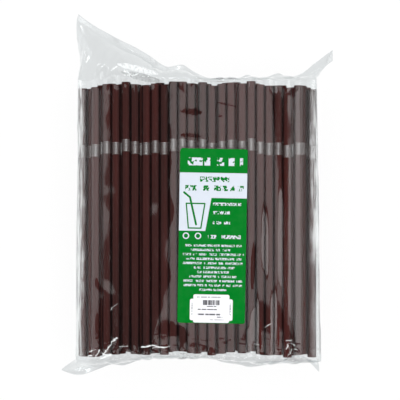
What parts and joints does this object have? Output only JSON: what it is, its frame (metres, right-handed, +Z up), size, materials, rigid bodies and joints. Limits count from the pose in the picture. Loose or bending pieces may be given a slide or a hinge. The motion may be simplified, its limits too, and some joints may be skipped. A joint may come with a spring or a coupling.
{
  "type": "bagged pack of bendy drinking straws",
  "caption": "Sealed see-through film bag packed with dark brown drinking straws with corrugated necks, with a label and two stickers on its front.",
  "frame": {"origin": "on the flat underside of the film, below the middle of the straws' length and of the bundle's width", "axes": "+Y along the straws towards their mouths, +Z up out of the labelled front, +X to the right of the label"},
  "size_m": [0.2522, 0.3363, 0.0778],
  "materials": {
    "clear_film": "clear, glossy, slightly hazy film",
    "straw_plastic": "semi-gloss, dyed through",
    "label_print": "satin coated",
    "sticker_paper": "satin coated"
  },
  "bodies": {
    "root": {"film_bag": "clear_film", "printed_label": "label_print", "lower_sticker": "sticker_paper", "upper_sticker": "sticker_paper", "straw_layer_01": "straw_plastic", "straw_layer_02": "straw_plastic", "straw_layer_03": "straw_plastic", "straw_layer_04": "straw_plastic", "straw_layer_05": "straw_plastic", "straw_layer_06": "straw_plastic", "straw_layer_07": "straw_plastic", "straw_layer_08": "straw_plastic", "straw_layer_09": "straw_plastic", "straw_10_01": "straw_plastic", "straw_10_02": "straw_plastic", "straw_10_03": "straw_plastic", "straw_10_04": "straw_plastic", "straw_10_05": "straw_plastic", "straw_10_06": "straw_plastic", "straw_10_07": "straw_plastic", "straw_10_08": "straw_plastic", "straw_10_09": "straw_plastic", "straw_10_10": "straw_plastic", "straw_10_11": "straw_plastic", "straw_10_12": "straw_plastic", "straw_10_13": "straw_plastic", "straw_10_14": "straw_plastic", "straw_10_15": "straw_plastic", "straw_10_16": "straw_plastic", "straw_10_17": "straw_plastic", "straw_10_18": "straw_plastic", "straw_10_19": "straw_plastic", "straw_10_20": "straw_plastic", "straw_10_21": "straw_plastic", "straw_10_22": "straw_plastic", "straw_10_23": "straw_plastic", "straw_10_24": "straw_plastic", "straw_10_25": "straw_plastic", "straw_11_01": "straw_plastic", "straw_11_02": "straw_plastic", "straw_11_03": "straw_plastic", "straw_11_04": "straw_plastic", "straw_11_05": "straw_plastic", "straw_11_06": "straw_plastic", "straw_11_07": "straw_plastic", "straw_11_08": "straw_plastic", "straw_11_09": "straw_plastic", "straw_11_10": "straw_plastic", "straw_11_11": "straw_plastic", "straw_11_12": "straw_plastic", "straw_11_13": "straw_plastic", "straw_11_14": "straw_plastic", "straw_11_15": "straw_plastic", "straw_11_16": "straw_plastic", "straw_11_17": "straw_plastic", "straw_11_18": "straw_plastic", "straw_11_19": "straw_plastic", "straw_11_20": "straw_plastic", "straw_11_21": "straw_plastic", "straw_11_22": "straw_plastic"}
  },
  "joints": []
}
